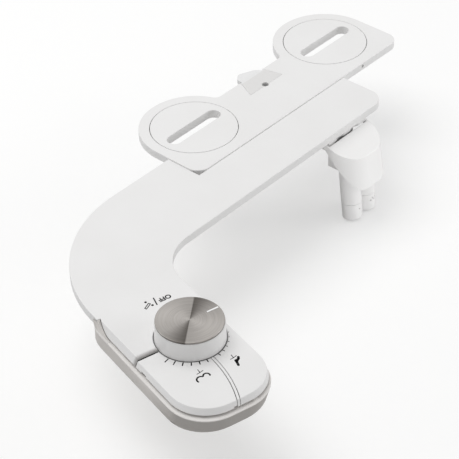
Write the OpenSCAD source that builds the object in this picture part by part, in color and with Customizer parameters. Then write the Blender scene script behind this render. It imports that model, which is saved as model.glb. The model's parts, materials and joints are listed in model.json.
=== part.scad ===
// Slim dual-nozzle bidet attachment that clamps between a toilet bowl and its seat.
// Origin: midway between the two seat bolts, on the bowl's rim. +X is the user's left,
// +Y points to the cistern, +Z is up. All sizes are in millimetres.

/* [Seat plate] */
// Distance between the two seat bolts
bolt_spacing = 140; // [138:0.5:142]
// Radius of each adjustable bolt disc
disc_r = 29.8; // [28:0.1:31]
// End-to-end length of each bolt slot
slot_length = 49; // [40:1:50]
// Width of each bolt slot
slot_w = 10.4; // [8:0.1:12]
// Radius of the plate's ear round each disc
ear_r = 37.5; // [37:0.1:39]
// Height of the seat plate's top over the bowl's rim
plate_top = 6.4; // [6:0.1:7]
// Line where the seat plate steps down to the body, behind the bowl's opening
step_y = -38.6; // [-40:0.1:-38]
// Rear edge of the seat plate between its ears
web_rear_y = 11; // [9:0.5:13]

/* [Body] */
// Height of the body's top over the bowl's rim
body_top = 5.6; // [5.4:0.1:6]
// Front edge of the body
body_front_y = -76.5; // [-78:0.1:-76]
// Free end of the body, on the user's left
body_end_x = 42.4; // [40:0.1:46]
// Rear edge of the body beside the left ear
body_rear_y = -11.3; // [-12:0.1:-10]
// Start of the wide bend into the arm
bend_x = -160.3; // [-162:0.1:-158]
// Outer radius of the bend
bend_r = 95; // [93:1:97]
// Inner radius where the arm meets the body
fillet_r = 34; // [32:1:35]
// Thickness of the body's top skin
skin_t = 0.9; // [0.8:0.1:1.2]
// Thickness of the side walls
wall_t = 1.6; // [1.4:0.1:2]
// Thickness of the plate that closes the body from below
base_t = 0.7; // [0.6:0.1:0.8]

/* [Arm and control head] */
// Angle of the arm from straight forward, away from the bowl
arm_tilt = 14.7; // [14:0.1:15]
// Knob axis, to the right of the bowl
knob_x = -229; // [-230:0.5:-228]
// Knob axis, forward of the bolts
knob_y = -141.4; // [-142:0.1:-140]
// Knob axis to the arm's outer edge
arm_left = 37.4; // [37:0.1:38]
// Knob axis to the arm's inner edge
arm_right = 24.3; // [24:0.1:25]
// Knob axis to the rear end of the control case
head_back = 44; // [43:0.5:45]
// Knob axis to the front end of the dial panels
head_front = 59.9; // [59:0.1:61]
// Corner radius of the dial panels
head_corner_r = 24; // [23:0.5:25]
// How far the head's sides flare out below its top edge
head_flare = 1.5; // [1.2:0.1:2]
// Lower edge of the head's covers
cover_low = 1; // [0.8:0.1:1.2]
// Height of the dial panels' top
panel_top = 4.9; // [4.8:0.1:5.2]
// Top of the control case's rim
rim_z = -0.5; // [-0.8:0.1:-0.4]
// Underside of the control case
case_low = -12; // [-12.5:0.1:-11.8]
// Width of the bead between the dial panels
bead_w = 1.5; // [1.2:0.1:1.6]
// Radius of the bead's sweep towards the outer side
bead_sweep_r = 92; // [88:1:96]

/* [Knob] */
// Radius of the knob's metal cap
cap_r = 20.6; // [20:0.1:20.7]
// Radius of the knob's skirt at its foot
skirt_r = 21.4; // [21:0.1:21.5]
// Top of the knob
knob_top = 18.4; // [18:0.1:20]
// Thickness of the metal cap
cap_t = 1.25; // [1:0.05:1.4]
// Radius of the knob's well in the covers
well_r = 22.1; // [22:0.1:22.4]

/* [Nozzles] */
// Centre distance of the two nozzles
nozzle_pitch = 14.8; // [14.6:0.1:15]
// Where the nozzle axes cross the rim plane
nozzle_y = -82.1; // [-82.5:0.1:-82]
// Forward lean of the nozzles
nozzle_lean = 6; // [5:0.5:7]
// Outer radius of the guide sleeves
sleeve_r = 7.2; // [7.1:0.05:7.3]
// Radius of the nozzle tips
tip_r = 7; // [6.8:0.05:7.1]
// Lower end of the sleeves, along the nozzle axis
sleeve_end = 49.4; // [48:0.1:51]
// Lower end of the resting nozzle tips, along the nozzle axis
tip_end = 62.6; // [61:0.1:64]

/* [Guard] */
// Half width of the guard
guard_half_w = 21.5; // [21:0.1:22]
// Radius of the guard's rounded front
guard_r = 17; // [16:0.1:17.5]
// Forward lean of the guard's front wall
guard_lean = 9.6; // [9:0.1:10]
// Downward slope of the guard's roof
guard_slope = 19.8; // [19:0.1:20.5]
// Lower lip of the guard below the rim plane
guard_drop = 33.1; // [32:0.1:34]
// Wall thickness of the guard
guard_t = 1.6; // [1.4:0.1:1.8]

/* [Hidden] */
$fn = 96;

cut = 1;               // overshoot of every cutting tool
far = 400;             // longer than the whole part
gap = 0.4;             // gap between neighbouring covers of the head
seam = 0.15;           // closed seam between the body cover and the seat plate
ear_x = bolt_spacing / 2;
shell_white = [0.93, 0.92, 0.91];
case_grey = [0.78, 0.76, 0.73];
part_grey = [0.62, 0.63, 0.64];
seal_black = [0.12, 0.12, 0.13];
steel = [0.72, 0.72, 0.73];
tube_clear = [0.86, 0.9, 0.92];
brass = [0.75, 0.62, 0.35];

// Bend and inner fillet centres, and their places along the arm (head frame)
bend_y = body_rear_y - bend_r;
fillet_y = body_front_y - fillet_r;
fillet_x = knob_x + (arm_right + fillet_r + (fillet_y - knob_y) * sin(arm_tilt)) / cos(arm_tilt);
function head_xy(x, y) = [(x - knob_x) * cos(arm_tilt) - (y - knob_y) * sin(arm_tilt),
                          (x - knob_x) * sin(arm_tilt) + (y - knob_y) * cos(arm_tilt)];
bend_head = head_xy(bend_x, bend_y);
fillet_head = head_xy(fillet_x, fillet_y);

// Seat plate
plate_low = 0.8;
hole_r = disc_r + gap;
flange_r = disc_r + 3.2;
flange_seat_r = flange_r + 0.3;
flange_low = 1.2;
flange_top = 3;
pad_t = 1.1;
pad_in_r = disc_r + 1.1;
pad_out_r = ear_r - 0.9;
ear_corner_r = 9.5;
web_fillet_r = 5;
web_fillet_y = web_rear_y + web_fillet_r;
web_fillet_x = ear_x - sqrt(pow(ear_r + web_fillet_r, 2) - pow(web_fillet_y, 2));
tongue_half_w = 30;
tongue_top = 3;
tongue_rear_y = 8;
tongue_screw_xy = [[-22, -30], [22, -30], [-22, 2], [22, 2]];
plate_screw_xy = [0.3, -3.2];
recess_z = 4.8;

// Small screws: shank radius, head radius, head height
screw_r = 1.25;
screw_head_r = 2.4;
screw_head_t = 1.2;
base_screw_xy = [[35, -70], [36, -44], [-30, -71], [-72, -71], [-114, -71], [-118, -18],
                 [-158, -18], [-165, -71], [-210, -37], [-232, -66], [-201, -88]];

// Control head
bead_x = 0.7;
bead_bend_y = -24;
window_x = -9.3;
window_y = -8.6;
case_back = 61;
case_back_r = 24;
collar_y = 28;
collar_r = 44;
collar_rise = 20.4;
lip_gap = 0.2;
lip_t = 1.2;
lip_top = 2;
case_wall = 2;
case_floor = case_low + 1.6;
post_r = 4.3;
boss_r = 3.2;
case_screw_xy = [[-26, 33], [15.5, 33], [-27, -14], [-18, -49], [13.5, -45]];
snap_w = 2.4;
snap_long_w = 5;
snap_h = 0.9;

// Valve, water inlet and tubes
valve_r = 13.5;
valve_bore_r = 10;
valve_top = 3.8;
stem_r = 4.2;
stem_top = 13.3;
inlet_along = 27.2;
inlet_flange_r = 12;
spigot_end = 13.6;
valve_lug_turns = [165, 300];
valve_lug_along = 19;
inlet_r = 10.48;
inlet_shank_r = 10.9;
inlet_end = -26;
inlet_bore_r = 7.5;
port_z = -5;
tube_r = 1.8;
tube_bore_r = 1;
tube_z = 2.6;
tube_start = 14.2;
tube_turn_r = 8;
tube_dive_r = 3.2;
socket_y = -68;
socket_z = -1.5;
tube_lanes = [-6, 0, 6];
tube_ends_x = [-nozzle_pitch / 2, 0, nozzle_pitch / 2];

// Nozzle unit
sleeve_top = 10.5;
sleeve_cap_t = 1.5;
sleeve_bore_r = 6.3;
guide_t = 3;
shaft_r = 4.4;
piston_top = 14;
piston_t = 3.4;
spring_wire_r = 0.35;
spring_coils = 9;
housing_half_w = 16;
block_top = -9.5;
block_low = -22;
block_front = -91;
neck_half_w = 10;
window_half_w = 16.5;

// Guard hinge
hinge_y = -79.3;
hinge_z = -7.2;
pin_r = 1.2;
guard_back_y = -77.2;
guard_flat = guard_half_w - guard_r;
guard_roof_z = -2.1;
guard_arc_y = -78.5;

// The control head's own frame: +Y along the arm towards the seat plate, knob axis at the origin
module at_head() translate([knob_x, knob_y, 0]) rotate([0, 0, -arm_tilt]) children();

// A nozzle's frame: -Z runs down along its axis
module at_nozzle(side) translate([side * nozzle_pitch / 2, nozzle_y, 0])
    rotate([-nozzle_lean, 0, 0]) children();

// Places of the valve's two screw lugs, in the head's frame
module at_valve_lugs() for (turn = valve_lug_turns)
    rotate([0, 0, turn]) translate([valve_lug_along, 0, 0]) children();

// A ring or tube standing from z0 to z1
module ring(r_out, r_in, z0, z1) {
    difference() {
        translate([0, 0, z0]) cylinder(r = r_out, h = z1 - z0);
        translate([0, 0, z0 - cut]) cylinder(r = r_in, h = z1 - z0 + 2 * cut);
    }
}

module rod(r, z0, z1) translate([0, 0, z0]) cylinder(r = r, h = z1 - z0);

// A block between two corners
module block(lo, hi) translate(lo) cube(hi - lo);

// Plan of the body, pulled in by g all round
module body_plan(g) {
    end = body_end_x - g;
    front = body_front_y + g;
    rear = step_y - seam - g;
    corner_r = 12 - g;
    difference() {
        union() {
            translate([bend_x, front]) square([end - corner_r - bend_x, rear - front]);
            translate([bend_x, front + corner_r]) square([end - bend_x, rear - front - corner_r]);
            translate([end - corner_r, front + corner_r]) circle(r = corner_r);
            translate([bend_x, front])
                square([-ear_x - ear_r - seam - g - bend_x, body_rear_y - g - front]);
            intersection() {
                translate([bend_x, bend_y]) circle(r = bend_r - g);
                translate([bend_x, bend_y]) polygon([[0, 0], [0, far], [-far, far],
                                                     [-far, far * tan(arm_tilt)]]);
            }
            at_head() translate([g - arm_left, -cut]) square([arm_left + arm_right - 2 * g,
                                                              bend_head[1] + 2 * cut]);
            at_head() translate([0, fillet_head[1]])
                square([arm_right + cut, bend_head[1] - fillet_head[1]]);
        }
        translate([fillet_x, fillet_y]) circle(r = fillet_r + g);
    }
}

// A rounded rectangle in the head's frame: distances from the knob axis to its four sides
module head_plan(left, right, front, back, front_r, back_r) {
    translate([-left, front_r - front]) square([left + right, front + back - front_r - back_r]);
    translate([front_r - left, -front]) square([left + right - 2 * front_r, front_r + 1]);
    translate([back_r - left, back - back_r - 1]) square([left + right - 2 * back_r, back_r + 1]);
    for (x = [front_r - left, right - front_r]) translate([x, front_r - front]) circle(r = front_r);
    for (x = [back_r - left, right - back_r]) translate([x, back - back_r]) circle(r = back_r);
}

// Corner discs of the same rounded rectangle, for use inside a hull
module head_corners(z, t, left, right, front, back, front_r, back_r) {
    for (x = [front_r - left, right - front_r]) translate([x, front_r - front, z])
        cylinder(r = front_r, h = t, $fn = 48);
    for (x = [back_r - left, right - back_r]) translate([x, back - back_r, z])
        cylinder(r = back_r, h = t, $fn = 32);
}

// The head's flared cover: a closed shape from the covers' lower edge to the given top
module head_solid(top, g) {
    low = cover_low - (g > 0 ? cut : 0);
    inset = 1 + top - panel_top;
    hull() {
        head_corners(low, 0.3, arm_left - 1 + head_flare - g, arm_right + 0.6 - g,
                     head_front + head_flare - g, head_back + 8, head_corner_r + 0.5 - g, 2);
        head_corners(top - 0.3, 0.3, arm_left - inset - g, arm_right - g, head_front - g,
                     head_back + 8, head_corner_r - g, 2);
    }
}

// Everything on the outer side of the bead's curved centre line, moved over by w
module outer_side(w) {
    translate([bead_x, bead_bend_y, -far / 2]) linear_extrude(far) {
        translate([-far, 0]) square([far - w, far]);
        intersection() {
            translate([-bead_sweep_r, 0]) circle(r = bead_sweep_r - w);
            translate([-far, -far]) square([2 * far, far + 0.01]);
        }
    }
}

// Shell of the dial panels, in front of the groove across the knob
module dial_shell() {
    difference() {
        intersection() {
            head_solid(panel_top, 0);
            block([-far, -far, -far], [far, -gap, far]);
        }
        intersection() {
            head_solid(panel_top - skin_t, wall_t);
            block([-far, -far, -far], [far, cut, far]);
        }
        rod(well_r, -far, far);
    }
}

// Screw boss under a cover of the control head
module head_boss(i, roof) {
    translate([case_screw_xy[i][0], case_screw_xy[i][1], 0]) difference() {
        rod(boss_r, -1.9, roof);
        rod(screw_r, -1.9 - cut, 3.5);
    }
}

module top_cover() color(shell_white) {
    difference() {
        union() {
            difference() {
                linear_extrude(body_top) body_plan(0);
                at_head() block([-far, -far, -far], [far, head_back, far]);
            }
            at_head() intersection() {
                head_solid(body_top, 0);
                block([-far, gap, -far], [far, head_back + 0.01, far]);
            }
            block([-tongue_half_w, step_y - 2, 0], [tongue_half_w, tongue_rear_y, tongue_top]);
        }
        difference() {
            translate([0, 0, -cut]) linear_extrude(body_top - skin_t + cut) body_plan(wall_t);
            block([-far, step_y - seam - wall_t, -far], [far, far, far]);
        }
        difference() {
            translate([0, 0, -cut]) linear_extrude(body_top - skin_t + cut) body_plan(wall_t);
            block([-ear_x - ear_r - 2, -far, -far], [far, far, far]);
        }
        at_head() intersection() {
            head_solid(body_top - skin_t, wall_t);
            block([-far, -far, -far], [far, head_back + 2, far]);
        }
        at_head() rod(well_r, -far, far);
        at_head() translate([0, 0, -cut]) linear_extrude(body_top + 2 * cut) intersection() {
            collar_plan(0);
            translate([-far, -far]) square([2 * far, far + 50.4]);
        }
        for (p = tongue_screw_xy) translate([p[0], p[1], 0]) {
            rod(screw_head_r + 0.2, -cut, screw_head_t + 0.2);
            rod(screw_r + 0.15, -cut, tongue_top + cut);
        }
        translate([plate_screw_xy[0], plate_screw_xy[1], 0]) rod(screw_r, -cut, tongue_top + cut);
    }
    for (p = base_screw_xy) translate([p[0], p[1], 0]) ring(2.4, screw_r - 0.23, base_t, body_top - 0.5);
    for (x = [-13.5, 13.5], y = [-71.5, -60])
        translate([x, y, 0]) ring(2.4, screw_r, 0, body_top - 0.5);
    at_head() {
        head_boss(0, body_top - 0.5);
        head_boss(1, body_top - 0.5);
    }
}

// Plan of the seat plate
module plate_plan() {
    for (turn = [0, 1]) mirror([turn, 0]) {
        translate([ear_x, 0]) circle(r = ear_r);
        translate([ear_x + ear_r - ear_corner_r, step_y + ear_corner_r]) circle(r = ear_corner_r);
        translate([ear_x, step_y + ear_corner_r]) square([ear_r, -step_y - ear_corner_r]);
        difference() {
            polygon([[web_fillet_x - 7, web_rear_y - 6], [ear_x - 12, 4],
                     [web_fillet_x, web_fillet_y], [web_fillet_x, web_rear_y]]);
            translate([web_fillet_x, web_fillet_y]) circle(r = web_fillet_r);
        }
    }
    translate([-ear_x, step_y]) square([2 * ear_x, web_rear_y - step_y]);
    translate([-ear_x - ear_r + ear_corner_r, step_y])
        square([2 * (ear_x + ear_r - ear_corner_r), ear_corner_r]);
}

// Outline of the shallow recess that takes the rear tab, pulled in by g
module recess_plan(g) polygon([[-16.5 + g, -4.2 + g], [17.5 - g, -4.2 + g],
                               [13.5 - g, web_rear_y + cut], [-9 + g, web_rear_y + cut]]);

module seat_plate() color(shell_white) {
    difference() {
        translate([0, 0, plate_low]) linear_extrude(plate_top - plate_low) plate_plan();
        for (side = [-1, 1]) translate([side * ear_x, 0, 0]) {
            rod(hole_r, -cut, plate_top + cut);
            rod(flange_seat_r, -cut, flange_top + 0.2);
            rod(pad_out_r + 0.1, -cut, pad_t);
        }
        block([-tongue_half_w - gap, step_y - cut, -cut],
              [tongue_half_w + gap, tongue_rear_y + gap, tongue_top + 0.1]);
        for (p = tongue_screw_xy) translate([p[0], p[1], 0]) rod(screw_r, 0, 5.5);
        translate([0, 0, recess_z]) linear_extrude(plate_top) recess_plan(0);
        translate([plate_screw_xy[0], plate_screw_xy[1], 0]) {
            rod(screw_r + 0.15, 0, plate_top + cut);
            rod(screw_head_r + 0.1, 3.6, plate_top + cut);
        }
        // Pockets that keep the moulding's walls even
        for (x = [-54, 34]) block([x, step_y + 2, -cut], [x + 20, step_y + 4.5, plate_top - 2]);
        for (x = [64, 88]) block([x, step_y + 2, -cut], [x + 12, step_y + 4.2, plate_top - 2]);
        // Drain hole in the front wall of the left ear
        translate([65, step_y - cut, 3.6]) rotate([-90, 0, 0]) cylinder(r = 1.2, h = 5);
    }
}

module base_plate() color(case_grey) {
    difference() {
        linear_extrude(base_t) body_plan(wall_t + 0.15);
        block([-tongue_half_w * 4, step_y - seam - wall_t - 0.15, -cut], [far, far, base_t + cut]);
        at_head() block([-far, -far, -cut], [far, head_back + 1.5, base_t + cut]);
        block([-window_half_w, -76, -cut], [window_half_w, -57.5, base_t + cut]);
        for (p = base_screw_xy) translate([p[0], p[1], 0]) {
            rod(2.1, -cut, 0.4);
            rod(screw_r, -cut, base_t + cut);
        }
    }
}

module base_screws() color(steel) {
    for (p = base_screw_xy) translate([p[0], p[1], 0]) {
        rod(1.9, 0.05, 0.4);
        rod(screw_r - 0.25, 0.4, 4.4);
    }
}

module tongue_screws() color(steel) {
    for (p = tongue_screw_xy) translate([p[0], p[1], 0]) {
        rod(screw_head_r, 0.2, screw_head_t + 0.2);
        rod(screw_r, screw_head_t + 0.2, 5.3);
    }
}

module plate_screw() color(steel) {
    translate([plate_screw_xy[0], plate_screw_xy[1], 0]) difference() {
        union() {
            rod(screw_r, 0.2, 3.6);
            rod(screw_head_r, 3.6, 4.8);
        }
        for (turn = [0, 90]) rotate([0, 0, turn]) block([-1.5, -0.3, 4.3], [1.5, 0.3, 5]);
    }
}

module rear_tab() color(shell_white) {
    difference() {
        union() {
            translate([0, 0, recess_z]) linear_extrude(1.4) intersection() {
                recess_plan(0.06);
                translate([-far, -far]) square([2 * far, far + web_rear_y - 0.5]);
            }
            translate([0, 0, recess_z]) linear_extrude(0.9) hull() {
                translate([-4, 9]) circle(r = 4.6, $fn = 32);
                translate([-1.6, 15]) circle(r = 4.4, $fn = 32);
                translate([8.6, 10.4]) circle(r = 3.8, $fn = 32);
            }
            translate([0, 0, 2.4]) linear_extrude(3.3) difference() {
                hull() {
                    translate([-3.2, 13.6]) circle(r = 4.6, $fn = 32);
                    translate([-1.6, 15]) circle(r = 4.4, $fn = 32);
                    translate([8, 12.4]) circle(r = 3, $fn = 32);
                }
                translate([-far, -far]) square([2 * far, far + web_rear_y + 0.2]);
            }
        }
        translate([plate_screw_xy[0], plate_screw_xy[1], 0]) rod(screw_head_r + 0.1, 0, far);
    }
}

module rim_pads() color(seal_black) {
    for (side = [-1, 1]) translate([side * ear_x, 0, 0]) ring(pad_out_r, pad_in_r, 0, pad_t);
}

// Adjustable bolt disc with its straight slot, turned to its resting angle
module bolt_disc(side) color(shell_white) {
    slot_r = slot_w / 2;
    run = slot_length / 2 - slot_r;
    translate([side * ear_x, 0, 0]) difference() {
        union() {
            rod(disc_r, 0, plate_top);
            rod(flange_r, flange_low, flange_top);
        }
        translate([-run, 0, -cut]) cylinder(r = slot_r, h = 10);
        translate([run, 0, -cut]) cylinder(r = slot_r, h = 10);
        block([-run, -slot_r, -cut], [run, slot_r, 10]);
    }
}

module left_disc() bolt_disc(1);
module right_disc() bolt_disc(-1);

// Outside of the control case: full at its rim, drawn in towards its underside
module case_solid() hull() {
    head_corners(rim_z - 0.8, 0.8, arm_left + 2.6, arm_right + 0.8, head_front + 4.1, case_back,
                 25.5, case_back_r);
    head_corners(case_low + 2.4, 0.1, arm_left + 3, arm_right - 0.9, head_front + 3,
                 case_back - 0.6, 26, case_back_r);
    head_corners(case_low, 0.1, arm_left + 1.7, arm_right - 4.2, head_front + 0.8, case_back - 3,
                 25, case_back_r - 3);
}

// Plan of the case's raised collar at the outer rear corner of the head, grown by g
module collar_plan(g) {
    difference() {
        translate([-arm_left - 6, collar_y - g]) square([9, case_back - collar_y + 2 * g]);
        translate([collar_r - arm_left - 0.6, collar_y]) circle(r = collar_r - g);
        translate([g - arm_left, head_back + g]) square([far, far]);
    }
}

// Collar that carries the head's sloping side on to the arm
module case_collar() intersection() {
    hull() {
        head_corners(rim_z - 1, 0.9, arm_left + 2.6, arm_right, 0, case_back, 10, case_back_r);
        head_corners(body_top - 0.5, 0.3, arm_left, arm_right, 0, case_back + 3, 10,
                     case_back_r - 8);
    }
    // Its top runs down from the body's top to the rim's ledge
    translate([0, collar_y + gap, rim_z + 0.2]) rotate([collar_rise, 0, 0])
        block([-far, -far, -far], [far, far, 0]);
    translate([0, 0, rim_z - 1]) linear_extrude(far) difference() {
        collar_plan(-gap);
        translate([-far, 50]) square([2 * far, far]);
    }
}

module control_case() color(case_grey) {
    left = arm_left - 1 - wall_t - lip_gap;
    right = arm_right - wall_t - lip_gap;
    front = head_front - wall_t - lip_gap;
    lip_r = head_corner_r - wall_t - lip_gap;
    at_head() {
        difference() {
            union() {
                case_solid();
                case_collar();
                translate([0, 0, rim_z - 1]) linear_extrude(lip_top - rim_z + 1)
                    head_plan(left, right, front, head_back - 4, lip_r, 8);
            }
            // Hollow inside, wider below the rim's shelf
            difference() {
                translate([0, 0, case_floor]) linear_extrude(rim_z - 1.9 - case_floor)
                    head_plan(arm_left - 1, arm_right - 4.4, head_front, case_back - 5, 20, case_back_r - 4);
                for (p = case_screw_xy) translate([p[0], p[1], 0]) rod(post_r, -far, far);
                at_valve_lugs() rod(4, -far, case_floor + 2.4);
            }
            difference() {
                translate([0, 0, rim_z - 2]) linear_extrude(far)
                    head_plan(left - lip_t, right - lip_t, front - lip_t, head_back - 4 - lip_t,
                              lip_r - lip_t, 7);
                for (p = case_screw_xy) translate([p[0], p[1], 0]) rod(post_r, -far, -2);
            }
            // Way for the tubes over the case's rear wall
            block([-12, 20, rim_z + 0.8], [12, far, far]);
            for (p = case_screw_xy) translate([p[0], p[1], 0]) {
                rod(3.2, -far, -4);
                rod(screw_r + 0.2, -far, far);
            }
            at_valve_lugs() rod(screw_r, case_low + 0.6, far);
            translate([0, inlet_along, 0]) rod(inlet_shank_r + 0.1, -far, far);
        }
        // Hooks behind the snap windows
        block([-arm_left + 1.8, window_y - 2.2, rim_z - 1], [-arm_left + 3.1, window_y + 2.2, 1.7]);
        block([window_x - 1, -head_front + 0.9, rim_z - 1], [window_x + 1, -head_front + 2.9, 1.7]);
    }
}

module case_screws() color(steel) {
    at_head() for (p = case_screw_xy) translate([p[0], p[1], 0]) difference() {
        union() {
            rod(2.8, -5.6, -4);
            rod(screw_r, -4, 3.2);
        }
        for (turn = [0, 90]) rotate([0, 0, turn]) block([-1.8, -0.35, -6], [1.8, 0.35, -4.9]);
    }
}

// Notch in the lower edge of a panel's side wall for the case's snap hook
module snap_notch(w) block([-w / 2, -2.5, 0], [w / 2, 2.5, cover_low + snap_h]);

module rear_wash_panel() color(shell_white) at_head() {
    difference() {
        intersection() {
            dial_shell();
            outer_side(bead_w / 2 + gap);
        }
        translate([-arm_left, window_y, 0]) rotate([0, 0, 90]) snap_notch(snap_long_w);
        translate([window_x, -head_front - 1, 0]) snap_notch(snap_w);
    }
    head_boss(2, panel_top - 0.5);
    head_boss(3, panel_top - 0.5);
}

module front_wash_panel() color(shell_white) at_head() {
    difference() {
        dial_shell();
        outer_side(-bead_w / 2 - gap);
    }
    head_boss(4, panel_top - 0.5);
}

module panel_bead() color(shell_white) at_head() difference() {
    intersection() {
        dial_shell();
        outer_side(-bead_w / 2);
    }
    outer_side(bead_w / 2);
}

module knob_well() color(part_grey) at_head() difference() {
    ring(well_r + 2.2, valve_r + 0.3, 3, 3.9);
    block([-8.6, 8, 2], [8.6, far, 5]);
    block([arm_right - wall_t - lip_gap, -far, 2], [far, far, 5]);
}

module knob_skirt() color(shell_white) at_head() difference() {
    union() {
        difference() {
            translate([0, 0, 4.75])
                cylinder(r1 = skirt_r, r2 = cap_r + 0.2, h = knob_top - cap_t - 4.9);
            rod(cap_r - 2, 0, 14.6);
        }
        rod(7, 8.2, 14.8);
    }
    rod(stem_r + 0.02, 0, 13.4);
    rod(1.7, 0, far);
    rod(3.4, 14.6, far);
    rod(17.1, 16.15, far);
}

module knob_cap() color(steel) at_head() difference() {
    union() {
        rod(cap_r, knob_top - cap_t, knob_top);
        rod(17, 16.2, knob_top - cap_t + 0.01);
    }
    translate([0, 0, knob_top - 0.3]) block([12, -0.55, 0], [19.9, 0.55, 2]);
}

module knob_pointer() color("white") at_head()
    translate([0, 0, knob_top - 0.3]) block([12.02, -0.53, 0], [19.88, 0.53, 0.3]);

module knob_screw() color(steel) at_head() difference() {
    union() {
        rod(1.5, 6, 14.6);
        rod(3, 14.6, 16.1);
    }
    for (turn = [0, 90]) rotate([0, 0, turn]) block([-1.9, -0.35, 15.3], [1.9, 0.35, 17]);
}

module valve_body() color(part_grey) at_head() difference() {
    union() {
        rod(valve_r, case_floor + 0.1, valve_top);
        difference() {
            rod(16, 1.8, 2.9);
            block([-8.6, 0, 0], [8.6, far, 5]);
        }
        for (turn = valve_lug_turns) rotate([0, 0, turn]) {
            translate([valve_lug_along, 0, 0]) rod(4, case_floor + 2.5, port_z);
            block([0, -3, case_floor + 2.5], [valve_lug_along, 3, port_z]);
        }
        translate([0, 12, port_z]) rotate([-90, 0, 0]) cylinder(r = 5, h = 2.8);
        for (x = tube_lanes) translate([x, 11, tube_z]) rotate([-90, 0, 0])
            cylinder(r = tube_bore_r - 0.02, h = 9);
    }
    rod(valve_bore_r, -6.3, far);
    rod(3, -8.6, 0);
    translate([0, 0, port_z - 2.4]) rotate([-90, 0, 0]) cylinder(r = 1.6, h = 14);
    translate([0, spigot_end - 0.2, port_z]) rotate([-90, 0, 0]) cylinder(r = 4.25, h = 10);
    for (x = tube_lanes) translate([x, 6, tube_z]) rotate([-90, 0, 0]) cylinder(r = 0.5, h = 20);
    at_valve_lugs() rod(screw_r + 0.15, -far, far);
}

module valve_screws() color(steel) at_head() at_valve_lugs() {
    rod(screw_head_r, port_z, port_z + screw_head_t);
    rod(screw_r, case_low + 0.7, port_z);
}

module valve_seat() color("white") at_head() difference() {
    rod(valve_bore_r - 0.05, -6.2, -4.2);
    rod(2.4, -far, far);
    for (turn = [-90, 0, 90]) rotate([0, 0, turn]) translate([6.5, 0, 0]) rod(1.6, -far, far);
}

module valve_disc() color([0.85, 0.8, 0.72]) at_head() difference() {
    rod(valve_bore_r - 0.1, -4.1, -2.1);
    rod(2.4, -far, far);
    translate([6.5, 0, 0]) rod(1.8, -far, far);
}

module valve_stem() color(brass) at_head() difference() {
    union() {
        rod(8.6, -2.1, -0.6);
        rod(stem_r, -0.7, stem_top);
    }
    ring(stem_r + cut, stem_r - 0.8, 5, 6.2);
    rod(1.5, 5.9, far);
}

module stem_seal() color(seal_black) at_head() translate([0, 0, 5.6])
    rotate_extrude() translate([stem_r - 0.4, 0]) circle(r = 0.38, $fn = 24);

module valve_bonnet() color(brass) at_head() difference() {
    union() {
        rod(12.4, valve_top + 0.1, 7.6);
        rod(valve_bore_r - 0.05, -0.4, valve_top + 0.2);
    }
    rod(stem_r + 0.05, -far, far);
    for (turn = [0:60:300]) rotate([0, 0, turn]) block([10.8, -1.5, 5.4], [far, 1.5, far]);
}

module inlet_connector() color(brass) at_head() translate([0, inlet_along, 0]) difference() {
    union() {
        rod(inlet_r, inlet_end, case_low - 3);
        rod(inlet_shank_r, case_low - 3.4, case_floor + 1);
        rod(inlet_flange_r, case_floor + 0.8, case_floor + 2.6);
        rod(8, case_floor + 2.5, 0.2);
        translate([0, 0, port_z]) rotate([90, 0, 0]) cylinder(r = 4.2, h = inlet_along - spigot_end);
    }
    rod(inlet_bore_r, inlet_end - cut, -13);
    rod(4, inlet_end, port_z);
    translate([0, 0, port_z]) rotate([90, 0, 0]) cylinder(r = 2.6, h = 20);
}

module inlet_locknut() color(brass) at_head() translate([0, inlet_along, 0]) difference() {
    translate([0, 0, case_low - 3.4]) cylinder(r = 14.4, h = 3.3, $fn = 6);
    rod(inlet_shank_r + 0.02, -far, far);
}

module inlet_gasket() color(seal_black) at_head() translate([0, inlet_along, 0])
    ring(inlet_flange_r - 0.1, inlet_shank_r + 0.1, case_floor + 0.02, case_floor + 0.78);

// Strainer cup with a slotted floor, pushed into the mouth of the inlet
module inlet_filter() color(part_grey) at_head() translate([0, inlet_along, 0]) difference() {
    rod(inlet_bore_r - 0.05, inlet_end + 1, inlet_end + 5);
    rod(inlet_bore_r - 1.1, inlet_end, inlet_end + 4.2);
    for (x = [-4.5:1.5:4.5]) block([x - 0.4, -4, inlet_end + 4], [x + 0.4, 4, inlet_end + 6]);
}

// Faces of a skin that runs along a row of rings; stride is the number of points a ring
function skin(rings, sides, stride, first, inward) = [for (i = [0:rings - 2], k = [0:sides - 1])
    let (a = i * stride + first + k, b = i * stride + first + (k + 1) % sides)
        inward ? [a, b, b + stride, a + stride] : [a, a + stride, b + stride, b]];

// One stop of a tube's path: its point, its direction and its sideways direction
function level_stop(p, dir) = [p, dir, [dir[1], -dir[0], 0]];
function level_arc(centre, r, from, to, steps) = [for (i = [0:steps])
    let (a = from + (to - from) * i / steps)
        level_stop(centre + r * [cos(a), sin(a), 0], [sin(a), -cos(a), 0])];

// Path of a water tube: down the arm, round the bend, along the body and into the housing
function tube_path(lane_x, end_x) =
    let (sweep_r = bend_head[0] - lane_x,
         arm_dir = [sin(arm_tilt), cos(arm_tilt), 0],
         arm_side = [cos(arm_tilt), -sin(arm_tilt), 0],
         turn_x = end_x - tube_turn_r,
         turn_y = bend_y + sweep_r - tube_turn_r,
         dive_y = socket_y + tube_dive_r,
         dive_z = tube_z - tube_dive_r)
    concat([level_stop([knob_x, knob_y, tube_z] + lane_x * arm_side + tube_start * arm_dir, arm_dir)],
           level_arc([bend_x, bend_y, tube_z], sweep_r, 180 - arm_tilt, 90, 12),
           level_arc([turn_x, turn_y, tube_z], tube_turn_r, 90, 0, 8),
           [for (a = [0:15:90]) [[end_x, dive_y - tube_dive_r * sin(a), dive_z + tube_dive_r * cos(a)],
                                 [0, -cos(a), -sin(a)], [-1, 0, 0]]],
           [[[end_x, socket_y, socket_z], [0, 0, -1], [-1, 0, 0]]]);

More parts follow.
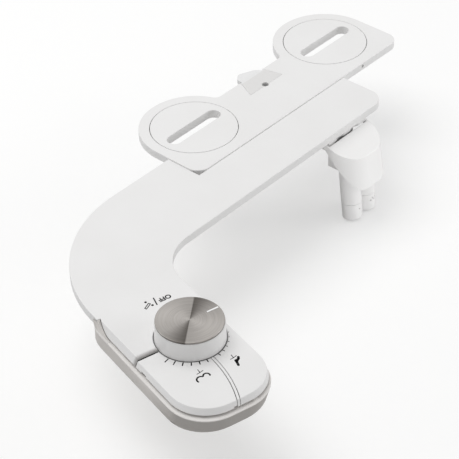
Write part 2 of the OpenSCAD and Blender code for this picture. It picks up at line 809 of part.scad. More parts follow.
module water_tube(lane) color(tube_clear) {
    sides = 16;
    path = tube_path(tube_lanes[lane], tube_ends_x[len(tube_ends_x) - 1 - lane]);
    pts = [for (stop = path) each [for (r = [tube_r, tube_bore_r], k = [0:sides - 1])
        let (a = 360 * k / sides)
            stop[0] + r * (cos(a) * stop[2] + sin(a) * cross(stop[2], stop[1]))]];
    count = len(path);
    last = 2 * sides * (count - 1);
    mouths = [for (k = [0:sides - 1]) each let (n = (k + 1) % sides)
        [[k, n, n + sides, k + sides],
         [last + n, last + k, last + k + sides, last + n + sides]]];
    polyhedron(points = pts, faces = concat(skin(count, sides, 2 * sides, 0, false),
                                            skin(count, sides, 2 * sides, sides, true), mouths));
}

module rear_wash_tube() water_tube(2);
module rinse_tube() water_tube(1);
module front_wash_tube() water_tube(0);

module nozzle_housing() color(shell_white) difference() {
    union() {
        block([-19.4, -76.3, -2.2], [19.4, -55.5, -0.05]);
        block([-neck_half_w, -73.4, -16], [neck_half_w, -62, -2]);
        block([-housing_half_w, block_front + 2.5, block_low], [housing_half_w, -73, block_top]);
        block([2 - housing_half_w, block_front, block_low], [housing_half_w - 2, -85, block_top]);
        for (x = [-19.4, housing_half_w - 0.2]) {
            translate([x, hinge_y, hinge_z]) rotate([0, 90, 0]) cylinder(r = 2, h = 3.6);
            block([x, hinge_y - 2, -14], [x + 3.6, hinge_y + 2, hinge_z]);
        }
        at_nozzle(0)
            block([-8.6, 5.4, 3.4 - sleeve_end], [8.6, 8, -20]);
    }
    for (side = [-1, 1]) {
        at_nozzle(side) rod(sleeve_r + 0.03, -far, far);
        translate([side * nozzle_pitch / 2, socket_y, 0]) rod(1.2, -14.4, far);
        translate([side * nozzle_pitch / 2, -80, -13.5]) rotate([-90, 0, 0])
            cylinder(r = 1.1, h = 12.5);
    }
    for (x = tube_ends_x) translate([x, socket_y, 0]) rod(tube_r + 0.03, socket_z, far);
    // Rinse channel: down behind the sleeves and out above the nozzle tips
    translate([0, socket_y, 0]) rod(0.9, -12, far);
    translate([0, -77, -12]) rotate([-90, 0, 0]) cylinder(r = 0.9, h = 9.3);
    at_nozzle(0) translate([0, 6.5, 0]) rod(0.9, -far, -11.5);
    for (x = [-13.5, 13.5], y = [-71.5, -60]) translate([x, y, 0]) rod(screw_r + 0.15, -far, far);
    translate([-far, hinge_y, hinge_z]) rotate([0, 90, 0]) cylinder(r = pin_r, h = 2 * far);
}

module housing_screws() color(steel) {
    for (x = [-13.5, 13.5], y = [-71.5, -60]) translate([x, y, 0]) {
        rod(screw_head_r, -2.2 - screw_head_t, -2.2);
        rod(screw_r, -2.2, 4.4);
    }
}

// Guide sleeve: closed on top, with a guide collar at its mouth and a water port behind
module guide_sleeve(side) color(shell_white) at_nozzle(side) difference() {
    rod(sleeve_r, -sleeve_end, -sleeve_top);
    rod(sleeve_bore_r, guide_t - sleeve_end, -sleeve_top - sleeve_cap_t);
    rod(shaft_r + 0.05, -far, -sleeve_top - sleeve_cap_t);
    translate([0, 0, -13]) rotate([-90, 0, 0]) cylinder(r = 0.9, h = 20);
}

module rear_sleeve() guide_sleeve(-1);
module front_sleeve() guide_sleeve(1);

// Hollow nozzle shaft with the piston that the water pushes down
module nozzle_tube(side) color(part_grey) at_nozzle(side) difference() {
    union() {
        rod(shaft_r, -sleeve_end - 1.5, -piston_top);
        rod(sleeve_bore_r - 0.08, -piston_top - piston_t, -piston_top);
    }
    rod(2, -far, far);
    ring(sleeve_r, sleeve_bore_r - 1.2, -piston_top - 2.4, -piston_top - 1);
}

module rear_nozzle_tube() nozzle_tube(-1);
module front_nozzle_tube() nozzle_tube(1);

module piston_seal(side) color(seal_black) at_nozzle(side)
    translate([0, 0, -piston_top - 1.7]) rotate_extrude()
        translate([sleeve_bore_r - 0.66, 0]) circle(r = 0.5, $fn = 24);

module rear_piston_seal() piston_seal(-1);
module front_piston_seal() piston_seal(1);

// Nozzle tip with a rounded foot; each jet leaves forwards and up
module nozzle_tip(side, jets) color(shell_white) at_nozzle(side) difference() {
    union() {
        rod(tip_r, 1.5 - tip_end, -sleeve_end - 0.35);
        rod(tip_r - 1.5, -tip_end, 2 - tip_end);
        translate([0, 0, 1.5 - tip_end]) rotate_extrude() translate([tip_r - 1.5, 0]) circle(r = 1.5);
    }
    rod(shaft_r, -sleeve_end - 1.5, far);
    rod(2, 3.5 - tip_end, far);
    for (i = [0:jets - 1])
        translate([(i - (jets - 1) / 2) * 1.4, 0, 4.6 - tip_end + (jets > 1 ? (i % 2) * 1.2 : 0)])
            rotate([60, 0, 0]) cylinder(r = 0.5, h = 12);
}

module rear_nozzle_tip() nozzle_tip(-1, 1);
module front_nozzle_tip() nozzle_tip(1, 4);

// Points round one wire section of the return spring
function wire_ring(t, r, pitch, z0, wire) = [for (k = [0:5])
    let (a = 60 * k) [(r + wire * cos(a)) * cos(t), (r + wire * cos(a)) * sin(t),
                      z0 + pitch * t / 360 + wire * sin(a)]];

// Coil spring between the piston and the guide collar
module return_spring(side) color(steel) at_nozzle(side) {
    low = guide_t - sleeve_end + spring_wire_r + 0.05;
    high = -piston_top - piston_t - spring_wire_r - 0.05;
    step = 24;
    count = spring_coils * 360 / step;
    pts = [for (i = [0:count]) each wire_ring(i * step, 5.35, (high - low) / spring_coils, low,
                                              spring_wire_r)];
    ends = [[for (k = [0:5]) k], [for (k = [5:-1:0]) 6 * count + k]];
    polyhedron(points = pts, faces = concat(skin(count + 1, 6, 6, 0, false), ends));
}

module rear_return_spring() return_spring(-1);
module front_return_spring() return_spring(1);

// Rounded column of the guard, leaning forward, pulled in by g
module guard_column(g) {
    lean = tan(guard_lean);
    translate([0, guard_arc_y, guard_roof_z]) rotate([-guard_lean, 0, 0]) {
        for (x = [-guard_flat, guard_flat]) translate([x, 0, -60]) cylinder(r = guard_r - g, h = 80);
        block([-guard_flat, g - guard_r, -60], [guard_flat, guard_r - g, 20]);
        block([g - guard_half_w, 0, -60], [guard_half_w - g, 20, 20]);
    }
}

module nozzle_guard() color(shell_white) difference() {
    guard_column(0);
    difference() {
        guard_column(guard_t);
        // Roof thickness
        translate([0, guard_back_y, guard_roof_z]) rotate([guard_slope, 0, 0])
            block([-far, -far, -guard_t - 0.1], [far, far, far]);
    }
    translate([0, guard_back_y, guard_roof_z]) rotate([guard_slope, 0, 0])
        block([-far, -far, 0], [far, far, far]);
    block([guard_t - guard_half_w, guard_back_y, -far], [guard_half_w - guard_t, far, far]);
    // Tails of the side walls, under the body
    block([-far, guard_back_y, -0.6], [far, far, far]);
    block([-far, guard_back_y + 5.2, -far], [far, far, far]);
    // Slanted foot of the side walls and the level lip in front
    difference() {
        translate([0, guard_back_y - 1.8, -10.6]) rotate([48, 0, 0])
            block([-far, -far, -far], [far, far, 0]);
        block([-far, -far, -far], [far, -103, far]);
    }
    block([-far, -far, -far], [far, far, -guard_drop]);
    translate([0.6 - guard_half_w, hinge_y, hinge_z]) rotate([0, 90, 0])
        cylinder(r = pin_r + 0.05, h = 2 * guard_half_w - 1.2);
}

module guard_hinge_pin() color(steel)
    translate([0.7 - guard_half_w, hinge_y, hinge_z]) rotate([0, 90, 0])
        cylinder(r = pin_r, h = 2 * guard_half_w - 1.4);

top_cover();
seat_plate();
base_plate();
base_screws();
tongue_screws();
plate_screw();
rear_tab();
rim_pads();
left_disc();
right_disc();
control_case();
case_screws();
rear_wash_panel();
front_wash_panel();
panel_bead();
knob_well();
knob_skirt();
knob_cap();
knob_pointer();
knob_screw();
valve_body();
valve_screws();
valve_seat();
valve_disc();
valve_stem();
stem_seal();
valve_bonnet();
inlet_connector();
inlet_locknut();
inlet_gasket();
inlet_filter();
rear_wash_tube();
front_wash_tube();
rinse_tube();
nozzle_housing();
housing_screws();
rear_sleeve();
front_sleeve();
rear_nozzle_tube();
front_nozzle_tube();
rear_nozzle_tip();
front_nozzle_tip();
rear_piston_seal();
front_piston_seal();
rear_return_spring();
front_return_spring();
nozzle_guard();
guard_hinge_pin();
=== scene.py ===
"""Slim dual-nozzle bidet attachment: finishes, rounded edges, printed dial, light and camera."""

import json
import math

import bmesh
import bpy
from mathutils import Matrix, Vector

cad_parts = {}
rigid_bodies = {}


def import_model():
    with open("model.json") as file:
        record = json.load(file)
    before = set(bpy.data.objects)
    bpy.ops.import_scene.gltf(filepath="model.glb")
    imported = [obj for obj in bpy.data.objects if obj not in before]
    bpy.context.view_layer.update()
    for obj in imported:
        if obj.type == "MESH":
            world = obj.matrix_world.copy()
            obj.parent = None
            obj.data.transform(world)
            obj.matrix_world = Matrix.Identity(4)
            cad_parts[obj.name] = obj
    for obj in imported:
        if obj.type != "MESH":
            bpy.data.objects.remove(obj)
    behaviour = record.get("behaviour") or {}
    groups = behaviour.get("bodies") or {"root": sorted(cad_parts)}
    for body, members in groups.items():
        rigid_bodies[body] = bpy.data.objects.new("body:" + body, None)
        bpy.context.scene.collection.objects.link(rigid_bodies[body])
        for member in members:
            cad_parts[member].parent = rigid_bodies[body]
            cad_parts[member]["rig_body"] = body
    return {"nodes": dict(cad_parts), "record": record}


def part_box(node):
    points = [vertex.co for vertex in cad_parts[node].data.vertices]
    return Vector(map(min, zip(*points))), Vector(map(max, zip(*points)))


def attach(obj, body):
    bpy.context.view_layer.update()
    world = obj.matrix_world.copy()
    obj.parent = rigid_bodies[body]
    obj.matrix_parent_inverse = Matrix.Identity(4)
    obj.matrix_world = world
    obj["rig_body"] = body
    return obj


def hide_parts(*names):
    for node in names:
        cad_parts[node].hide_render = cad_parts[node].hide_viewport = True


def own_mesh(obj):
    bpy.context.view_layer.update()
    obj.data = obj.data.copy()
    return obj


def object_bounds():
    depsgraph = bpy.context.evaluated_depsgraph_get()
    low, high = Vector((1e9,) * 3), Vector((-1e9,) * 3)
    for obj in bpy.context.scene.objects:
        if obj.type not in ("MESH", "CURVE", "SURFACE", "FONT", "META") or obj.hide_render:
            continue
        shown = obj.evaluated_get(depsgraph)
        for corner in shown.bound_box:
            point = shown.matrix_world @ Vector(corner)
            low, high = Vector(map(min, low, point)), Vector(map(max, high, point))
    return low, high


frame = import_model()
cad_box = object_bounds()
scene = bpy.context.scene
nodes = frame["nodes"]
MM = 0.001

# The control head's axis and turn, and the heights of the covers' top faces
knob_low, knob_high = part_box("knob_cap")
knob_axis = Vector(((knob_low.x + knob_high.x) / 2, (knob_low.y + knob_high.y) / 2, 0))
arm_turn = math.radians(-14.7)
head = Matrix.Translation(knob_axis) @ Matrix.Rotation(arm_turn, 4, "Z")
cover_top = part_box("top_cover")[1].z
dial_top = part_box("rear_wash_panel")[1].z
plate_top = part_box("seat_plate")[1].z


# ---------------------------------------------------------------- camera

camera_angles = (-47.872, 38.002, -1.251)  # turn, height and roll, in degrees
camera_aim = Vector((-0.13904, -0.09272, 0.0064))
camera_distance = 1.1724
focal_length_mm = 146.75


def aim_camera():
    """The camera: high over the control head, looking across to the far ear."""
    turn, height, roll = (math.radians(a) for a in camera_angles)
    back = Vector((math.sin(turn) * math.cos(height), -math.cos(turn) * math.cos(height),
                   math.sin(height)))
    right = Vector((0, 0, 1)).cross(back).normalized()
    up = back.cross(right)
    right, up = (right * math.cos(roll) + up * math.sin(roll),
                 up * math.cos(roll) - right * math.sin(roll))
    camera = bpy.data.objects.new("camera", bpy.data.cameras.new("camera"))
    camera.data.lens = focal_length_mm
    camera.data.sensor_width = 36
    camera.data.clip_end = 30
    place = Matrix((right, up, back)).transposed().to_4x4()
    place.translation = camera_aim + back * camera_distance
    camera.matrix_world = place
    scene.collection.objects.link(camera)
    scene.camera = camera


aim_camera()


# ---------------------------------------------------------------- shader maths

class Value:
    """A socket in a node tree. Arithmetic on it adds Math nodes."""

    def __init__(self, tree, socket):
        self.tree = tree
        self.socket = socket

    def node(self, kind, settings=None, inputs=None, out=0):
        """Adds any node: its settings first, then its sockets' values or links."""
        made = self.tree.nodes.new(kind)
        for key, setting in (settings or {}).items():
            if key == "stops":
                while len(made.color_ramp.elements) < len(setting):
                    made.color_ramp.elements.new(0.5)
                for stop, (place, colour) in zip(made.color_ramp.elements, setting):
                    stop.position = place
                    stop.color = (*colour, 1)
            else:
                setattr(made, key, setting)
        for key, given in (inputs or {}).items():
            if isinstance(given, Value):
                self.tree.links.new(given.socket, made.inputs[key])
            else:
                made.inputs[key].default_value = given
        return Value(self.tree, made.outputs[out])

    def math(self, operation, *values):
        return self.node("ShaderNodeMath", {"operation": operation}, dict(enumerate(values)))

    def __add__(self, other):
        return self.math("ADD", self, other)

    def __sub__(self, other):
        return self.math("SUBTRACT", self, other)

    def __rsub__(self, other):
        return self.math("SUBTRACT", other, self)

    def __mul__(self, other):
        return self.math("MULTIPLY", self, other)

    def __truediv__(self, other):
        return self.math("DIVIDE", self, other)

    __radd__ = __add__
    __rmul__ = __mul__

    def noise(self, size_mm, detail=2.0, rough=0.5):
        """Noise with lumps of about size_mm, from 0 to 1."""
        return self.node("ShaderNodeTexNoise", None,
                         {"Vector": self, "Scale": 1 / (size_mm * MM), "Detail": detail,
                          "Roughness": rough})

    def ramp(self, *stops):
        return self.node("ShaderNodeValToRGB", {"stops": stops}, {"Fac": self})

    def between(self, low, high):
        """A smooth step from 0 at low to 1 at high."""
        return self.node("ShaderNodeMapRange", {"interpolation_type": "SMOOTHSTEP"},
                         {"Value": self, "From Min": low, "From Max": high})

    def blend(self, first, second):
        """A colour mix: first where this value is 0, second where it is 1."""
        return self.node("ShaderNodeMix", {"data_type": "RGBA"},
                         {"Factor": self, "A": first, "B": second}, out=2)

    def bump(self, depth_mm, strength=1.0):
        return self.node("ShaderNodeBump", None,
                         {"Height": self, "Distance": depth_mm * MM, "Strength": strength})


def finish_for(name, looks, **constants):
    """A material on one Principled shader: constants on its sockets, looks(place) for the rest."""
    material = bpy.data.materials.new(name)
    material.use_nodes = True
    tree = material.node_tree
    shader = tree.nodes["Principled BSDF"]
    for key, given in constants.items():
        shader.inputs[key.replace("_", " ")].default_value = given
    place = Value(tree, tree.nodes.new("ShaderNodeTexCoord").outputs["Object"])
    for key, value in looks(place).items():
        tree.links.new(value.socket, shader.inputs[key])
    return material


def grey(level, warm=0.0):
    """A linear near-grey from an 8-bit level, a little warmer or cooler."""
    def linear(c):
        c /= 255
        return ((c + 0.055) / 1.055) ** 2.4 if c > 0.04045 else c / 12.92
    return (linear(level + warm), linear(level), linear(level - warm), 1)


# ---------------------------------------------------------------- finishes

def axis_of(vector, index):
    """One axis of a vector value: 0 is X, 1 is Y and 2 is Z."""
    parts = vector.node("ShaderNodeSeparateXYZ", None, {"Vector": vector})
    return Value(vector.tree, parts.socket.node.outputs[index])


def seen_from_head(place):
    """The same point measured from the knob's axis, with Y running up the arm."""
    return place.node("ShaderNodeMapping", {"vector_type": "TEXTURE"},
                      {"Vector": place, "Location": tuple(knob_axis),
                       "Rotation": (0, 0, arm_turn)})


def gloss_shell(place):
    """Bright moulded ABS: clouding, a flow ripple, polish haze, and painted shade along the head's
    groove.
    """
    cloud = place.noise(38, 3)
    ripple = place.noise(7, 2)
    haze = place.noise(0.9, 3, 0.6)
    tone = (cloud - 0.5) * 0.8 + (haze - 0.5) * 0.25 + 0.5
    bright = tone.between(0.1, 0.9).blend(grey(233, 0.8), grey(238, 0.4))
    across, back = (axis_of(seen_from_head(place), index) for index in range(2))
    beside_knob = across.math("ABSOLUTE", across).between(0.0216, 0.0219)
    # Painted shade: a dark band on the cover along the back edge of the groove across the head,
    # beside the knob
    groove = (back.between(-0.0001, 0.0002) * beside_knob
              * (1 - (back + haze * 0.0006).between(0.0012, 0.0046)))
    return {
        "Base Color": groove.blend(bright, grey(158, 2)),
        "Roughness": cloud * 0.05 + haze * 0.06 + 0.27,
        "Normal": (ripple * 0.7 + haze * 0.08).bump(0.05, 0.35),
    }


def tab_plastic(place):
    """The rear tab: paler at its finger lump, with painted shade where it lies in the plate's
    recess.
    """
    along = axis_of(place, 1)
    cloud = place.noise(12, 2)
    grain = place.noise(0.4, 2, 0.6)
    # Painted shade: the tab is darker where it lies in the plate's recess and paler at the lump
    lump = (along + cloud * 0.0006).between(0.0092, 0.0104)
    return {
        "Base Color": lump.blend(grey(223, 1), grey(234, 0)),
        "Roughness": grain * 0.1 + cloud * 0.06 + 0.4,
        "Normal": grain.bump(0.03, 0.5),
    }


def spark_grain(low, high, rough):
    """Moulded plastic with a fine spark-eroded grain."""
    def looks(place):
        cloud = place.noise(24, 2)
        grain = place.noise(0.35, 2, 0.7)
        pits = place.node("ShaderNodeTexVoronoi", None, {"Vector": place, "Scale": 1800.0})
        return {
            "Base Color": (cloud * 0.6 + grain * 0.4).between(0.2, 0.8).blend(low, high),
            "Roughness": grain * 0.12 + rough,
            "Normal": (grain * 0.6 + pits * 0.4).bump(0.03, 0.5),
        }
    return looks


def case_plastic(place):
    """Warm grey ABS with a fine grain; painted shade makes it darker towards the front and paler
    towards the arm, and a painted highlight runs along the rim's ledge.
    """
    height = axis_of(place, 2)
    cloud = place.noise(24, 2)
    grain = place.noise(0.35, 2, 0.7)
    mottle = (cloud * 0.6 + grain * 0.4).between(0.2, 0.8)
    # Painted shade: the case is darker towards its front and paler towards the arm
    body = axis_of(seen_from_head(place), 1).between(-0.05, -0.01).blend(
        mottle.blend(grey(160, 4), grey(168, 4)), mottle.blend(grey(198, 4), grey(206, 4)))
    # Painted highlight: a pale band along the top of the rim's ledge, fading out just above it
    ledge = ((height + cloud * 0.0002).between(-0.0013, -0.0008)
             * (1 - height.between(-0.0001, 0.0009)))
    return {
        "Base Color": ledge.blend(body, grey(228, 3)),
        "Roughness": grain * 0.12 + 0.4,
        "Normal": grain.bump(0.03, 0.4),
    }


def spun_metal(place):
    """Brushed aluminium, turned about the knob's axis: rings of fine scratches, tinted with a
    painted reflection in two fans.
    """
    centred = place.node("ShaderNodeMapping", {"vector_type": "POINT"},
                         {"Vector": place, "Location": tuple(-c for c in knob_axis)})
    x, y, z = (axis_of(centred, index) for index in range(3))
    radius = x.math("SQRT", x * x + y * y)
    turn = y.math("ARCTAN2", y, x)
    ring_place = radius.node("ShaderNodeCombineXYZ", None,
                             {0: radius * 3200.0, 1: turn * 0.9, 2: z * 3200.0})
    rings = ring_place.node("ShaderNodeTexNoise", None,
                            {"Vector": ring_place, "Scale": 1.0, "Detail": 3.0})
    broad = ring_place.node("ShaderNodeTexNoise", None,
                            {"Vector": ring_place, "Scale": 0.18, "Detail": 2.0})
    # Painted reflection: light and dark sectors in two fans, each darkest at its sharp edge
    fan = (0.586 - turn) / math.pi
    fan = fan.math("FRACT", fan)
    painted_reflection = fan.ramp(*((at, grey(tone, 4)[:3]) for at, tone in (
        (0.0, 90), (0.05, 104), (0.17, 140), (0.27, 158), (0.6, 160), (0.985, 154), (1.0, 90))))
    streak = (rings * 0.6 + broad * 0.4).between(0.25, 0.75).blend(grey(228), grey(255))
    scratches_and_painted_reflection = streak.node("ShaderNodeMix", {"data_type": "RGBA", "blend_type": "MULTIPLY"},
                       {"Factor": 1.0, "A": painted_reflection, "B": streak}, out=2)
    return {
        "Base Color": scratches_and_painted_reflection,
        "Roughness": rings * 0.1 + 0.3,
        "Normal": rings.bump(0.01, 0.25),
    }


def bright_metal(low, high, rough):
    """Turned metal fittings and screws: fine machining streaks and a worn haze."""
    def looks(place):
        streak = place.node("ShaderNodeTexWave", {"bands_direction": "Z"},
                            {"Vector": place, "Scale": 900.0, "Distortion": 3.0, "Detail": 2.0},
                            out=1)
        haze = place.noise(2.5, 3)
        return {
            "Base Color": haze.between(0.25, 0.75).blend(low, high),
            "Roughness": haze * 0.15 + streak * 0.06 + rough,
            "Normal": streak.bump(0.01, 0.2),
        }
    return looks


def soft_rubber(place):
    """Matt black rubber with a dusty bloom."""
    bloom = place.noise(5, 4, 0.6)
    grain = place.noise(0.4, 2)
    return {
        "Base Color": bloom.between(0.3, 0.8).blend(grey(28), grey(44, 1)),
        "Roughness": bloom * 0.2 + 0.6,
        "Normal": grain.bump(0.04, 0.4),
    }


def clear_hose(place):
    """Milky soft tubing, a little uneven."""
    streak = place.noise(6, 3)
    return {
        "Base Color": streak.between(0.2, 0.8).blend(grey(214, -2), grey(228, -1)),
        "Roughness": streak * 0.15 + 0.25,
        "Normal": streak.bump(0.03, 0.3),
    }


def glazed_ceramic(place):
    """Lapped ceramic valve discs with a few grey specks."""
    speck = place.noise(0.5, 3)
    return {
        "Base Color": speck.between(0.6, 0.8).blend(grey(226, 3), grey(190, 4)),
        "Roughness": speck * 0.08 + 0.12,
        "Normal": speck.bump(0.005, 0.2),
    }


def dial_ink(place):
    """Pad-printed black with slightly uneven cover."""
    cover = place.noise(0.6, 3)
    return {
        "Base Color": cover.between(0.2, 0.8).blend(grey(6), grey(14)),
        "Roughness": cover * 0.15 + 0.4,
        "Normal": cover.bump(0.005, 0.3),
    }


finishes = {
    "shell_white": finish_for("gloss_shell", gloss_shell, IOR=1.5, Coat_Roughness=0.12),
    "case_grey": finish_for("grey_case", case_plastic),
    "part_grey": finish_for("acetal_grey", spark_grain(grey(160), grey(172), 0.4)),
    "knob_metal": finish_for("spun_metal", spun_metal, Metallic=1.0, Anisotropic=0.5),
    "pointer_white": finish_for("pointer_white", spark_grain(grey(244), grey(250), 0.35)),
    "screw_steel": finish_for("steel", bright_metal(grey(168), grey(190), 0.22), Metallic=1.0),
    "brass": finish_for("brass", bright_metal((0.55, 0.38, 0.14, 1), (0.68, 0.5, 0.22, 1), 0.24),
                        Metallic=1.0),
    "ceramic": finish_for("ceramic", glazed_ceramic),
    "seal_rubber": finish_for("seal_rubber", soft_rubber),
    "tube_clear": finish_for("tube_clear", clear_hose, Coat_Weight=0.3),
    "pad_rubber": finish_for("pad_rubber", soft_rubber),
}
ink = finish_for("dial_ink", dial_ink)
tab_finish = finish_for("tab_plastic", tab_plastic, IOR=1.5)

slot_of = {}
for entry in frame["record"]["materials"]:
    for name in entry.get("nodes", []):
        slot_of[name] = entry["slot"]
for name, node in nodes.items():
    slot_of.setdefault(name, node.material_slots[0].material.name.split(".")[0])
    for held in node.material_slots:
        held.material = tab_finish if name == "rear_tab" else finishes[slot_of[name]]


# ---------------------------------------------------------------- pieces

def piece_from(bm, name, material, body, sharp=30):
    """Finishes a bmesh as a piece that rides on a body, smooth but for its sharp edges."""
    mesh = bpy.data.meshes.new(name)
    bm.to_mesh(mesh)
    bm.free()
    mesh.shade_smooth()
    mesh.set_sharp_from_angle(angle=math.radians(sharp))
    mesh.materials.append(material)
    piece = bpy.data.objects.new(name, mesh)
    scene.collection.objects.link(piece)
    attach(piece, body)
    return piece


def rounded(node, *rounds, sharp=35):
    """A merged copy of a CAD node with some of its sharp edges rounded.

    Each of rounds is a width in mm, a test that picks edges by their ends, and a segment count.
    """
    bm = bmesh.new()
    bm.from_mesh(nodes[node].data)
    bmesh.ops.remove_doubles(bm, verts=bm.verts, dist=2e-6)
    bmesh.ops.dissolve_limit(bm, angle_limit=math.radians(0.2), verts=bm.verts, edges=bm.edges)
    for width, picks, segments in rounds:
        chosen = []
        for edge in bm.edges:
            if len(edge.link_faces) == 2 and edge.calc_face_angle(0) > math.radians(28):
                a, b = (v.co / MM for v in edge.verts)
                if picks(a, b):
                    chosen.append(edge)
        bmesh.ops.bevel(bm, geom=chosen, offset=width * MM, offset_type="OFFSET",
                        segments=segments, profile=0.5, affect="EDGES", clamp_overlap=False,
                        material=-1)
    piece = piece_from(bm, node + "_shell", finishes[slot_of[node]], nodes[node]["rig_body"],
                       sharp)
    weighted = piece.modifiers.new("weighted", "WEIGHTED_NORMAL")
    weighted.keep_sharp = True
    weighted.weight = 80
    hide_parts(node)
    return piece


def level(z):
    """Picks the edges that lie in one level plane."""
    return lambda a, b: abs(a.z - z) < 0.02 and abs(b.z - z) < 0.02


def at_groove(a, b):
    """Picks the body cover's top edge along the groove across the control head."""
    along = [(head.inverted() @ (v * MM)) / MM for v in (a, b)]
    return all(abs(v.y - 0.4) < 0.1 and abs(v.z - cover_top / MM) < 0.02 for v in along)


def at_case_foot(a, b):
    """Picks the control case's lower edges."""
    floor, ledge = -12.2, -8
    return floor < a.z < ledge and b.z < ledge


def anywhere(a, b):
    """Picks every sharp edge."""
    return True


plates = level(plate_top / MM)
panels = level(dial_top / MM)
moulded_edge = 0.4
rounded("top_cover", (1.3, at_groove, 4), (moulded_edge, level(cover_top / MM), 2))
rounded("seat_plate", (moulded_edge, plates, 2))
for disc in ("left_disc", "right_disc"):
    rounded(disc, (0.35, plates, 2))
for panel in ("rear_wash_panel", "front_wash_panel"):
    rounded(panel, (moulded_edge, panels, 2))
rounded("panel_bead", (0.25, panels, 2))
rounded("control_case", (0.8, at_case_foot, 3))
rounded("nozzle_guard", (moulded_edge, anywhere, 2))
rounded("knob_cap", (0.3, level(knob_high.z / MM), 3))


# ---------------------------------------------------------------- return springs

# The springs, which shorten as their nozzles slide out with their far ends held, are copied as
# smooth pieces that ride on the plate
for joint in frame["record"]["behaviour"]["joints"]:
    for held in joint.get("deforming_nodes", []):
        name = held["node"]
        coil = bmesh.new()
        coil.from_mesh(nodes[name].data)
        spring = piece_from(coil, name + "_coil", finishes[slot_of[name]], "plate",
                            60)
        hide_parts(name)
        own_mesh(spring)


# ---------------------------------------------------------------- printed marks

class Print:
    """Ink laid on a cover in the head's frame: strokes with round ends, in mm."""

    lift = 0.01
    depth = 0.04

    def __init__(self, height):
        self.bm = bmesh.new()
        self.height = height / MM + self.lift

    def stroke(self, width, *points):
        """A line through the points."""
        points = [Vector((x, y, self.height)) for x, y in points]
        for a, b in zip(points, points[1:]):
            run = b - a
            bmesh.ops.create_cube(self.bm, size=1, matrix=(
                Matrix.Translation((a + b) / 2)
                @ Matrix.Rotation(math.atan2(run.y, run.x), 4, "Z")
                @ Matrix.Diagonal((run.length, width, self.depth, 1))))
        for point in points:
            bmesh.ops.create_cone(self.bm, cap_ends=True, segments=16, radius1=width / 2,
                                  radius2=width / 2, depth=self.depth,
                                  matrix=Matrix.Translation(point))

    def arc(self, width, centre, radius, start, end, steps=10):
        """Part of a circle, from one angle to another in degrees."""
        angles = [math.radians(start + (end - start) * i / steps) for i in range(steps + 1)]
        self.stroke(width, *((centre[0] + radius * math.cos(a), centre[1] + radius * math.sin(a))
                             for a in angles))

    def radial(self, width, turn, inner, outer):
        """A straight line out from the knob's axis, at a turn in degrees."""
        turn = math.radians(turn)
        self.stroke(width, *((r * math.cos(turn), r * math.sin(turn)) for r in (inner, outer)))

    def spray(self, x, y):
        """A small fan of three jets that meet at a point."""
        for dx, dy in ((0.2, 2.7), (2.3, 0.5), (-2.2, -0.2)):
            self.stroke(0.5, (x, y), (x + dx, y + dy))

    def letters(self, words, size, x, y):
        """Letters that read towards the arm's outer side."""
        curve = bpy.data.curves.new(words, "FONT")
        curve.body = words
        curve.size = size
        curve.align_x = "CENTER"
        curve.extrude = self.depth / 2
        curve.offset = 0.2
        drawn = bpy.data.objects.new(words, curve)
        mesh = bpy.data.meshes.new_from_object(drawn)
        mesh.transform(Matrix.Translation((x, y, self.height)) @ Matrix.Rotation(math.pi, 4, "Z"))
        self.bm.from_mesh(mesh)
        bpy.data.objects.remove(drawn)

    def finish(self, name):
        bmesh.ops.transform(self.bm, verts=self.bm.verts, matrix=head @ Matrix.Scale(MM, 4))
        return piece_from(self.bm, name, ink, "plate")


# The rear wash's ticks grow away from the middle of the dial, and the front wash's shrink
ticks = Print(dial_top)
for i in range(6):
    inner = 22.45 + 0.1 * i
    ticks.radial(0.75, -97.9 - 11.9 * i, inner, inner + 1.7 + 0.25 * i)
    ticks.radial(0.65 - 0.04 * i, -76.6 + 10.5 * i, 22.55, 22.6 + max(0.1, 1.4 - 0.33 * i))
ticks.finish("scale_ticks")

rear_mark = Print(dial_top)
rear_mark.arc(1.0, (-15, -34.3), 2.55, 200, 40)
rear_mark.arc(1.0, (-10.6, -33.3), 2.0, 160, -25)
rear_mark.spray(-12.3, -29)
rear_mark.finish("rear_wash_mark")

front_mark = Print(dial_top)
front_mark.stroke(1.6, (13.2, -30.5), (12.3, -32), (10.2, -32.1), (10, -33.8), (9.3, -36.4))
front_mark.stroke(1.1, (12.3, -32), (10.6, -33.4))
front_mark.spray(10.5, -29.5)
front_mark.finish("front_wash_mark")

off_mark = Print(cover_top)
off_mark.letters("OFF", 4.8, 6.2, 39.4)
off_mark.stroke(0.85, (0.6, 41.6), (-0.8, 35.4))
for x, y in ((-3.3, 36.4), (-5.3, 41.1)):
    off_mark.stroke(1.6, (x, y), (x + 0.01, y))
off_mark.stroke(0.6, (-4.4, 39.3), (-8.7, 36.5), (-8.1, 35.4), (-3.7, 38.2), (-4.4, 39.3))
off_mark.finish("off_legend")


# ---------------------------------------------------------------- floor, light and background

floor_level = cad_box[0].z - 0.0004
floor_half = 6
paper_lift = 0.34
paper_glow = 1.25
ambient_glow = 0.5

floor_mesh = bmesh.new()
bmesh.ops.create_grid(floor_mesh, x_segments=1, y_segments=1, size=floor_half)
bmesh.ops.translate(floor_mesh, verts=floor_mesh.verts, vec=(0, 0, floor_level))
floor_data = bpy.data.meshes.new("floor")
floor_mesh.to_mesh(floor_data)
floor_mesh.free()
floor = bpy.data.objects.new("floor", floor_data)
scene.collection.objects.link(floor)

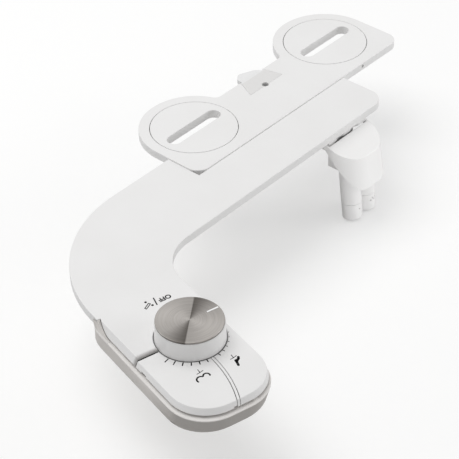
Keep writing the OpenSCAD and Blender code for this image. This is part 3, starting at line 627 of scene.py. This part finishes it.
paper = bpy.data.materials.new("paper")
paper.use_nodes = True
paper_tree = paper.node_tree
paper_tree.nodes.clear()
rays = Value(paper_tree, paper_tree.nodes.new("ShaderNodeLightPath").outputs["Is Camera Ray"])
matt = rays.node("ShaderNodeBsdfDiffuse", None,
                 {"Color": rays.blend((0.8, 0.8, 0.8, 1), (0.9, 0.9, 0.895, 1))})
glow = rays.node("ShaderNodeEmission", None, {"Color": (1, 1, 1, 1), "Strength": paper_glow})
seen = rays.node("ShaderNodeMixShader", None, {0: rays * paper_lift, 1: matt, 2: glow})
surface = paper_tree.nodes.new("ShaderNodeOutputMaterial")
paper_tree.links.new(seen.socket, surface.inputs["Surface"])
floor_data.materials.append(paper)

world = bpy.data.worlds.new("studio")
scene.world = world
world.use_nodes = True
sky = world.node_tree
sky.nodes.clear()
path = sky.nodes.new("ShaderNodeLightPath")
direct = Value(sky, path.outputs["Is Camera Ray"])
glossy = Value(sky, path.outputs["Is Glossy Ray"])
through = Value(sky, path.outputs["Is Transmission Ray"])
backdrop = direct.node("ShaderNodeBackground", None, {"Color": (1, 1, 1, 1), "Strength": 1.0})
ambient = direct.node("ShaderNodeBackground", None,
                      {"Color": (1, 1, 1, 1), "Strength": ambient_glow})
in_view = direct + glossy + through
both = direct.node("ShaderNodeMixShader", None,
                   {0: in_view.math("MINIMUM", in_view, 1.0), 1: ambient, 2: backdrop})
sky_out = sky.nodes.new("ShaderNodeOutputWorld")
sky.links.new(both.socket, sky_out.inputs["Surface"])


def soft_light(name, place, aim, size, power):
    """A square soft box that looks from place to aim: metres and watts."""
    lamp = bpy.data.lights.new(name, "AREA")
    lamp.shape = "SQUARE"
    lamp.size = size
    lamp.energy = power
    box = bpy.data.objects.new(name, lamp)
    box.location = place
    box.rotation_euler = (Vector(place) - Vector(aim)).to_track_quat("Z", "Y").to_euler()
    scene.collection.objects.link(box)
    return box


soft_light("key", (-0.25, 0.5, 1.35), (-0.1, -0.07, 0), 1.2, 11.2)
soft_light("fill", (1.1, -1.1, 0.35), (-0.05, -0.1, -0.03), 0.8, 7.0)
low_fill = soft_light("low_fill", (-0.3, -0.8, -0.03), (0, -0.09, -0.03), 0.25, 2.4)

# The low fill reaches only what hangs under the body
hanging_words = ("nozzle_tip", "sleeve", "guard")
hanging = bpy.data.collections.new("hanging")
for piece in scene.objects:
    if piece.type == "MESH" and any(word in piece.name for word in hanging_words):
        hanging.objects.link(piece)
low_fill.light_linking.receiver_collection = hanging

scene.view_settings.view_transform = "Standard"
